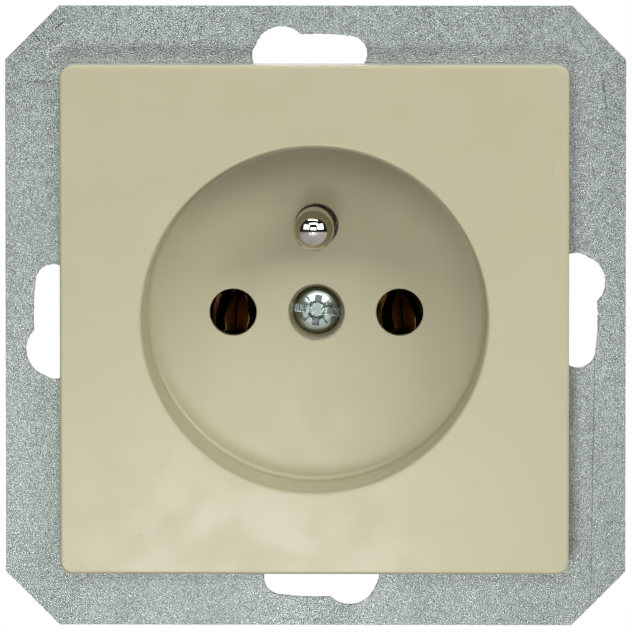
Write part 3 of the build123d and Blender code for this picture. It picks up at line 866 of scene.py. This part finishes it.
def earthPinTree():
    tree, given = startGeometry("earthPin", earthPin)
    radius, tip, tail = given["Radius"], given["Tip level"], given["Tail radius"]
    neck, neckLevel, neckEdge = given["Neck radius"], given["Neck level"], given["Neck edge"]
    collar, collarLevel = given["Collar radius"], given["Collar level"]
    strapLevel, collarEdge = given["Strap level"], given["Collar edge"]
    rivet, rivetLevel = given["Rivet radius"], given["Rivet level"]
    rivetEnd, rivetRound = less(rivetLevel, given["Rivet height"]), given["Rivet rounding"]
    corners = [
        (0.0, tip, 0.0),
        (radius, tip, times(radius, noseShare)),
        (radius, less(tip, times(radius, barShare)), 0.0),
        (radius, plus(neckLevel, neckRise * mm), 0.0),
        (radius, neckLevel, neckEdge),
        (neck, neckLevel, 0.0),
        (neck, collarLevel, 0.0),
        (collar, collarLevel, collarEdge),
        (collar, strapLevel, collarEdge),
        (tail, strapLevel, 0.0),
        (tail, rivetLevel, 0.0),
        (rivet, rivetLevel, neckEdge),
        (less(rivet, rivetRound), rivetEnd, rivetRound),
        (0.0, rivetEnd, 0.0),
    ]
    body = welded(swept(section(tree, corners, noseSteps), pinSides + 1))
    endGeometry(tree, given, moved(body, turn=standUp), sharpAngle=30)
    return tree


pinMesh = runGeometry(earthPinTree(), earthPin, "nickel")
pinMesh.transform(Matrix.Translation(Vector((pinSpot[0], 0, pinSpot[1])) * mm))
addPiece("earthPin", pinMesh, "nickel", "earth_pin")


# ---- cover screw: combined slot and cross, with a domed head shaped ring by ring
coverScrew = {  # mm, and depths below the plane of the head's top
    "headTop": 9.4,  # behind the wall's face
    "headRadius": 2.65,
    "headHeight": 2.2,
    "rimRound": 0.45,
    "domeRadius": 10.5,
    "slotTurn": 7.0,  # degrees, left end up
    "slotHalf": 0.40,
    "slotDepth": 0.95,
    "softEdge": 0.05,
    "knurlFrom": 1.35,
    "knurlPitch": 0.27,
    "knurlDepth": 0.014,
    "armHalf": 0.37,
    "armReach": 1.72,
    "armDepth": 1.25,
    "armSlope": 0.25,
    "crossHalf": 0.3885,
    "crossReach": 1.3,
    "crossDepth": 1.15,
    "pocketReach": 1.08,
    "pocketFloor": 0.80,
    "pocketLip": 0.25,
    "pocketDepth": 1.35,
    "tickHalf": 0.07,
    "tickSoft": 0.06,
    "tickReach": 1.9,
    "tickDepth": 0.11,
    "deepest": 1.8,
    "underEdge": 0.1,
    "shankRadius": 1.49,
    "shankLength": 6.6,
    "tipLength": 0.75,
    "columns": 288,
    "rings": 66,
    "ringBias": 0.9,  # below 1 puts more rings near the rim
    "sharpFrom": 34,  # degrees
}


# 1 inside an edge, 0 outside, with a short slope
def wall(distance, soft):
    return min(1.0, max(0.0, 0.5 - distance / soft))


# how far below the head's top plane the surface lies, x to the right and z up, in mm
def headSurface(x, z):
    look = coverScrew
    turn, soft = math.radians(look["slotTurn"]), look["softEdge"]
    along = x * math.cos(turn) - z * math.sin(turn)
    across = x * math.sin(turn) + z * math.cos(turn)
    sideways, upward = abs(along), abs(across)
    reach = math.hypot(along, across)
    dome = look["domeRadius"] - math.sqrt(look["domeRadius"] ** 2 - reach**2)
    rim = max(0.0, reach - (look["headRadius"] - look["rimRound"])) / look["rimRound"]
    depth = dome + look["rimRound"] * (1 - math.sqrt(max(0.0, 1 - rim * rim)))

    knurl = look["knurlDepth"] * math.sin(along * math.tau / look["knurlPitch"])
    slot = look["slotDepth"] + (knurl if sideways > look["knurlFrom"] else 0.0)
    depth += wall(upward - look["slotHalf"], soft) * (slot - depth)
    inArm = wall(sideways - look["armHalf"], soft) * wall(upward - look["armReach"], soft)
    depth = max(depth, inArm * (look["armDepth"] - look["armSlope"] * upward))
    inCross = wall(upward - look["crossHalf"], soft) * wall(sideways - look["crossReach"], soft)
    depth = max(depth, inCross * look["crossDepth"])

    # an octagonal pocket with sloping sides in the middle
    corners = [step * math.pi / 4 + math.pi / 8 for step in range(8)]
    eighth = max(along * math.cos(corner) + across * math.sin(corner) for corner in corners)
    fall = (look["pocketReach"] - eighth) / (look["pocketReach"] - look["pocketFloor"])
    if fall > 0:
        lip = look["pocketLip"]
        depth = max(depth, lip + min(1.0, fall) * (look["pocketDepth"] - lip))

    diagonal = abs(sideways - upward) / math.sqrt(2)
    if look["pocketReach"] < (sideways + upward) / math.sqrt(2) < look["tickReach"]:
        depth += wall(diagonal - look["tickHalf"], look["tickSoft"]) * look["tickDepth"]
    return depth


def coverScrewMesh():
    look = coverScrew
    shape = bmesh.new()
    columns, radius, top = look["columns"], look["headRadius"], look["headTop"]
    angles = [math.tau * column / columns for column in range(columns)]
    rows = []
    for step in range(1, look["rings"] + 1):
        reach = radius * math.sin(math.pi / 2 * (step / look["rings"]) ** look["ringBias"])
        row = []
        for angle in angles:
            x, z = reach * math.cos(angle), reach * math.sin(angle)
            depth = min(headSurface(x, z), look["deepest"])
            row.append(shape.verts.new((x * mm, (top + depth) * mm, z * mm)))
        rows.append(row)
    under = top + look["headHeight"]
    end = under + look["shankLength"]
    for reach, level in [
        (radius, under - look["underEdge"]),
        (radius - look["underEdge"], under),
        (look["shankRadius"], under),
        (look["shankRadius"], end - look["tipLength"]),
        (look["shankRadius"] / 2, end),
    ]:
        spots = [(reach * math.cos(a) * mm, level * mm, reach * math.sin(a) * mm) for a in angles]
        rows.append([shape.verts.new(spot) for spot in spots])
    for first, second in zip(rows, rows[1:]):
        for column in range(columns):
            following = (column + 1) % columns
            corners = (first[column], first[following], second[following], second[column])
            shape.faces.new(corners)
    middle = shape.verts.new((0, (top + headSurface(0, 0)) * mm, 0))
    for column in range(columns):
        shape.faces.new((rows[0][(column + 1) % columns], rows[0][column], middle))
    shape.faces.new(rows[-1])
    bmesh.ops.recalc_face_normals(shape, faces=shape.faces)
    for face in shape.faces:
        face.smooth = True
    for edge in shape.edges:
        edge.smooth = edge.calc_face_angle(0) < math.radians(look["sharpFrom"])
    mesh = bpy.data.meshes.new("coverScrew")
    shape.to_mesh(mesh)
    shape.free()
    return mesh


addPiece("coverScrew", coverScrewMesh(), "zinc_screw", "cover_screw")


# ---- copies of CAD pieces: joined into one skin, with small broken edges
copyLook = {
    "joined": 0.0005,  # mm
    "flatAngle": 0.8,  # degrees, faces that bend less than this become one
    "flatFrom": 12,  # a face with more corners than this is a plain flat one
    "brokenFrom": 50,  # degrees, edges sharper than this are broken
    "sharpFrom": 16,  # degrees
}


def copiedMesh(nodeName):
    shape = bmesh.new()
    shape.from_mesh(nodes[nodeName].data)
    joined, flat = copyLook["joined"] * mm, math.radians(copyLook["flatAngle"])
    bmesh.ops.remove_doubles(shape, verts=shape.verts, dist=joined)
    bmesh.ops.dissolve_degenerate(shape, edges=shape.edges, dist=joined)
    bmesh.ops.dissolve_limit(shape, angle_limit=flat, verts=shape.verts, edges=shape.edges)
    for face in shape.faces:
        face.smooth = len(face.verts) <= copyLook["flatFrom"]
    mesh = bpy.data.meshes.new(nodeName + "Copy")
    shape.to_mesh(mesh)
    shape.free()
    return mesh


def breakEdges(piece, width):
    bevel = piece.modifiers.new("brokenEdges", "BEVEL")
    bevel.width = width * mm
    bevel.segments = 2
    bevel.limit_method = "ANGLE"
    bevel.angle_limit = math.radians(copyLook["brokenFrom"])
    bevel.harden_normals = True
    piece.data.set_sharp_from_angle(angle=math.radians(copyLook["sharpFrom"]))


# ---- support plate: the stamped sheet with punching burrs round its keyholes
supportPlate = {  # mm
    "Burr size": 0.075,
    "Burr spacing": 0.16,
    "Burr grain": 0.35,
    "Front level": -1.2,
    "Inner limit": 27.0,
    "Outer limit": 34.5,
    "Corner share": 1.3,  # limit of x and z together, as a share of the outer limit
}
plateEdge = 0.12  # mm
burrFrom = 1.0  # radians, only edges sharper than this have a burr
burrRange, burrSides = (0.45, 0.75, 0.15, 1.0), 8  # values of the noise, and the burr's share


def burrTree():
    tree, given = startGeometry("punchBurrs", supportPlate, takesMesh=True)
    position = geo(tree, "InputPosition")
    parts, outer = axes(position), given["Outer limit"]
    reach = vectorCalc("LENGTH", triple(parts["X"], 0.0, parts["Z"]), output=1)
    x, z = calc("ABSOLUTE", parts["X"]), calc("ABSOLUTE", parts["Z"])
    tests = [
        calc("LESS_THAN", parts["Y"], plus(given["Front level"], 0.01 * mm)),
        calc("GREATER_THAN", reach, given["Inner limit"]),
        calc("LESS_THAN", calc("MAXIMUM", x, z), outer),
        calc("LESS_THAN", plus(x, z), times(outer, given["Corner share"])),
        calc("GREATER_THAN", geo(tree, "InputMeshEdgeAngle"), burrFrom),
    ]
    picked = tests[0]
    for test in tests[1:]:
        picked = times(picked, test)
    edges = geo(tree, "MeshToCurve", {"Mesh": given["Mesh"], "Selection": picked})
    inputs = {"Curve": edges, "Length": given["Burr spacing"]}
    even = geo(tree, "ResampleCurve", inputs, mode="LENGTH")
    inputs = {"Vector": position, "Scale": over(1.0, given["Burr grain"]), "Detail": 1.0}
    lump = put(tree, "ShaderNodeTexNoise", inputs).outputs["Fac"]
    inputs = {
        "Curve": even,
        "Profile Curve": ring(given["Burr size"], burrSides),
        "Scale": ramp(lump, *burrRange),
        "Fill Caps": True,
    }
    burrs = geo(tree, "CurveToMesh", inputs)
    endGeometry(tree, given, join(given["Mesh"], burrs), sharpAngle=35)
    return tree


plateCopy = copiedMesh("support_plate")
plateMesh = runGeometry(burrTree(), supportPlate, "galvanised_steel", plateCopy)
breakEdges(addPiece("supportPlate", plateMesh, "galvanised_steel", "support_plate"), plateEdge)


# ---- contacts: the two leaves as they stand behind the pin holes, from each pin's axis, in mm
contactMouths = {
    "lineContact": {
        "pinX": -9.5,
        "middle": 0.405,
        "lean": 0.21,
        "leanBelow": 0.06,
        "opening": 1.25,
        "band": 1.12,
    },
    "neutralContact": {
        "pinX": 9.5,
        "middle": 0.285,
        "lean": -0.17,
        "leanBelow": -0.17,
        "opening": 1.18,
        "band": 0.90,
    },
}
leafLook = {  # mm, as the CAD leaves are, and how far the pair closes behind its mouth
    "opening": 1.7,
    "thickness": 0.7,
    "mouthLevel": 9.8,
    "throatLevel": 12.2,
    "throatShare": 0.06,
    "straightened": 0.5,  # share of the lean that is gone at the throat
    "halfWidth": 3.0,
    "above": -2.6,
    "burnished": 0.17,  # width of the bright outer edge
    "foldFrom": 60,  # degrees, only edges sharper than this are burnished
    "frontDepth": 0.02,
    "middleHeight": -0.5,
    "frontNormal": -0.7,  # a face that looks more to the front is no side
}


def shapeMouth(mesh, mouth):
    look = leafLook
    thicker = mouth["band"] / look["thickness"]
    narrower = mouth["opening"] / look["opening"]
    for vertex in mesh.vertices:
        x, y, z = (value / mm for value in vertex.co)
        off = x - mouth["pinX"]
        size = abs(off)
        if size > look["halfWidth"] or z < look["above"]:
            continue
        depth = min(1.0, (y - look["mouthLevel"]) / (look["throatLevel"] - look["mouthLevel"]))
        lean = mouth["lean"] if z > 0 else mouth["leanBelow"]
        middle = (mouth["middle"] + lean * z) * (1 - look["straightened"] * depth)
        if size <= look["opening"]:
            reshaped = size * narrower
        else:
            reshaped = mouth["opening"] + (size - look["opening"]) * thicker
        reshaped += (size * look["throatShare"] - reshaped) * depth
        vertex.co.x = (mouth["pinX"] + middle + math.copysign(reshaped, off)) * mm


# cuts the outer front edges of the leaves back; contactBrass paints the cut faces as worn brass
# with a painted highlight, so they show as a bright line
def burnishOuterEdges(mesh, mouth):
    look = leafLook
    shape = bmesh.new()
    shape.from_mesh(mesh)
    front = (look["mouthLevel"] + look["frontDepth"]) * mm
    leafMiddle = Vector((mouth["pinX"] + mouth["middle"], 0, look["middleHeight"])) * mm
    cut = []
    for edge in shape.edges:
        if any(vertex.co.y > front for vertex in edge.verts) or len(edge.link_faces) != 2:
            continue
        if edge.calc_face_angle(0) < math.radians(look["foldFrom"]):
            continue
        side = [face for face in edge.link_faces if face.normal.y > look["frontNormal"]]
        middle = sum((vertex.co for vertex in edge.verts), Vector()) / 2
        if not side or middle.z < look["above"] * mm:
            continue
        away = middle - leafMiddle
        if side[0].normal.dot(Vector((away.x, 0, away.z))) > 0:
            cut.append(edge)
    bmesh.ops.bevel(
        shape, geom=cut, offset=look["burnished"] * mm, offset_type="OFFSET",
        segments=1, profile=0.5, affect="EDGES", clamp_overlap=True,
    )
    shape.to_mesh(mesh)
    shape.free()
    print("burnished", len(cut), "edges")


smallPieces = {  # piece: CAD node, finish, broken edge in mm
    "socketBase": ("socket_base", "base_plastic", 0.18),
    "rearCover": ("rear_cover", "base_plastic", 0.20),
    "lineContact": ("line_contact", "contact_brass", 0.02),
    "neutralContact": ("neutral_contact", "contact_brass", 0.02),
    "earthStrap": ("earth_strap", "contact_brass", 0.06),
    "lineClamp": ("line_clamp", "galvanised_steel", 0.08),
    "neutralClamp": ("neutral_clamp", "galvanised_steel", 0.08),
    "earthClamp": ("earth_clamp", "galvanised_steel", 0.08),
}
for name, (nodeName, finish, width) in smallPieces.items():
    mesh = copiedMesh(nodeName)
    if name in contactMouths:
        shapeMouth(mesh, contactMouths[name])
        burnishOuterEdges(mesh, contactMouths[name])
    breakEdges(addPiece(name, mesh, finish, nodeName), width)


# ---- camera, lamps and the stage
shot = {
    "aim": (-0.05, 5.5, -0.43),  # mm, what lies in the middle of the picture
    "away": 1100,  # mm
    "right": 0.92,  # degrees off the plate's normal
    "above": 3.5,
    "pixelsPerMm": 8.77,
    "pictureWidth": 632,
    "sensorWidth": 36,  # mm
    "clip": (0.01, 20),  # m
}


def direction(right, above):
    turn, rise = math.radians(right), math.radians(above)
    return Vector(
        (math.sin(turn) * math.cos(rise), -math.cos(turn) * math.cos(rise), math.sin(rise))
    )


def placeCamera():
    data = bpy.data.cameras.new("camera")
    data.sensor_width = shot["sensorWidth"]
    data.lens = shot["pixelsPerMm"] * data.sensor_width * shot["away"] / shot["pictureWidth"]
    data.clip_start, data.clip_end = shot["clip"]
    camera = bpy.data.objects.new("camera", data)
    bpy.context.scene.collection.objects.link(camera)
    away = direction(shot["right"], shot["above"])
    camera.location = Vector(shot["aim"]) * mm + away * shot["away"] * mm
    camera.rotation_euler = (-away).to_track_quat("-Z", "Y").to_euler()
    bpy.context.scene.camera = camera


lamps = {  # right and above in degrees, away, width and height in m, power in W
    "leftBox": (-42, 22, 1.3, 0.85, 0.65, 2.6),
    "rightBox": (42, 24, 1.3, 0.8, 0.65, 7.5),
    "lowStrip": (0, 44, 1.3, 1.0, 0.15, 3.2),
    "highStrip": (-8, 68, 1.3, 1.1, 0.2, 2.2),
    "frontBox": (0, 14, 1.35, 0.7, 0.3, 3.7),
    "nearSpot": (-2.4, -9.5, 0.36, 0.05, 0.03, 0.078),
    "nearBox": (-3, -15, 0.36, 0.3, 0.12, 0.06),
    "rearFill": (160, 45, 1.3, 1.0, 1.0, 13),
}


def placeLamp(name, right, above, away, width, height, power):
    data = bpy.data.lights.new(name, "AREA")
    data.shape = "RECTANGLE"
    data.size, data.size_y = width, height
    data.energy = power
    light = bpy.data.objects.new(name, data)
    bpy.context.scene.collection.objects.link(light)
    toLamp = direction(right, above)
    light.location = toLamp * away
    light.rotation_euler = (-toLamp).to_track_quat("-Z", "Y").to_euler()


stageLook = {  # lengths in m
    "floorLevel": -0.120,
    "floorSize": 8.0,
    "floorBehind": 0.8,  # how far it reaches behind the object
    "floorColour": (0.42, 0.42, 0.42, 1),
    "floorRough": 0.9,
    "floorGlow": 0.8,
    "tentRadius": 2.6,
    "tentFrom": 0.01,  # the tent is open behind this
    "tentColour": (0.10, 0.10, 0.10, 1),
    "roomLight": 0.04,
}


# white for the camera, and a plain pale surface for everything else
def floorMaterial():
    material = bpy.data.materials.new("paleFloor")
    material.use_nodes = True
    tree = material.node_tree
    seen = put(tree, "ShaderNodeLightPath").outputs["Is Camera Ray"]
    inputs = {
        "Base Color": stageLook["floorColour"],
        "Roughness": stageLook["floorRough"],
        "Emission Color": (1, 1, 1, 1),
        "Emission Strength": times(seen, stageLook["floorGlow"]),
    }
    feed(tree.nodes["Principled BSDF"], inputs)
    return material


def placeStage():
    floorMesh = bpy.data.meshes.new("floor")
    half = stageLook["floorSize"] / 2
    level = stageLook["floorLevel"]
    back = stageLook["floorBehind"]
    corners = [(-half, -half), (half, -half), (half, back), (-half, back)]
    floorMesh.from_pydata([(x, y, level) for x, y in corners], [], [(0, 1, 2, 3)])
    floor = bpy.data.objects.new("floor", floorMesh)
    floorMesh.materials.append(floorMaterial())
    bpy.context.scene.collection.objects.link(floor)

    shell = bmesh.new()
    bmesh.ops.create_uvsphere(shell, u_segments=48, v_segments=24, radius=stageLook["tentRadius"])
    behind = [vertex for vertex in shell.verts if vertex.co.y > stageLook["tentFrom"]]
    bmesh.ops.delete(shell, geom=behind, context="VERTS")
    tentMesh = bpy.data.meshes.new("darkTent")
    shell.to_mesh(tentMesh)
    shell.free()
    tent = bpy.data.objects.new("darkTent", tentMesh)
    tent.visible_camera = False
    cloth = bpy.data.materials.new("tentCloth")
    cloth.use_nodes = True
    inputs = {"Base Color": stageLook["tentColour"], "Roughness": 1.0, "Specular IOR Level": 0.0}
    feed(cloth.node_tree.nodes["Principled BSDF"], inputs)
    tentMesh.materials.append(cloth)
    bpy.context.scene.collection.objects.link(tent)

    world = bpy.data.worlds.new("studio")
    bpy.context.scene.world = world
    world.use_nodes = True
    tree = world.node_tree
    rays = put(tree, "ShaderNodeLightPath").outputs
    seen = calc("MAXIMUM", rays["Is Camera Ray"], rays["Is Glossy Ray"])
    seen = calc("MAXIMUM", seen, rays["Is Transmission Ray"])
    strength = ramp(seen, 0, 1, stageLook["roomLight"], 1.0)
    feed(tree.nodes["Background"], {"Color": (1, 1, 1, 1), "Strength": strength})


placeCamera()
for name, lamp in lamps.items():
    placeLamp(name, *lamp)
placeStage()
bpy.context.scene.view_settings.view_transform = "Standard"
print("camera, lamps and stage placed")
